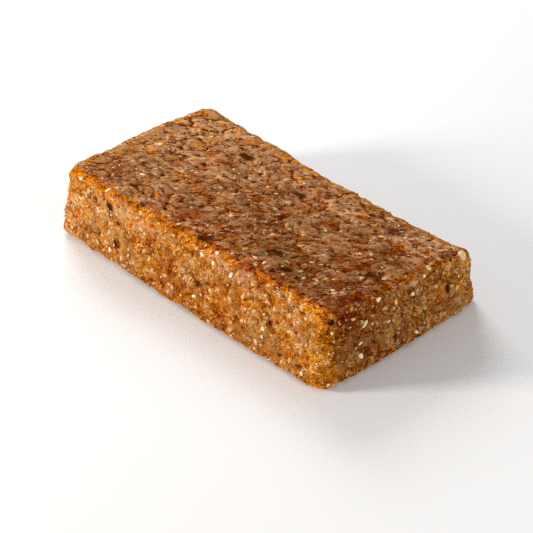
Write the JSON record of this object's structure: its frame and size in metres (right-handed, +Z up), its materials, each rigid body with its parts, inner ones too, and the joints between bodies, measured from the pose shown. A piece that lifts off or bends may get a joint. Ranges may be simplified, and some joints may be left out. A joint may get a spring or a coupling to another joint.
{
  "type": "granola bar",
  "caption": "Pressed date and nut bar: a dense slab with rounded edges, uneven corners, a pressed top and craggy cut sides with chopped nuts standing out of them.",
  "frame": {"origin": "middle of the bar's box on the surface that it lies on", "axes": "+X along the bar's length, towards the end that the picture shows; +Z up, out of the pressed top; the long side that the picture shows faces -Y"},
  "size_m": [0.0816, 0.0466, 0.0175],
  "materials": {
    "date_nut_paste": "satin",
    "chopped_nuts": "satin",
    "date_skin": "gloss"
  },
  "bodies": {
    "root": {"granola_bar": "date_nut_paste"}
  },
  "joints": []
}
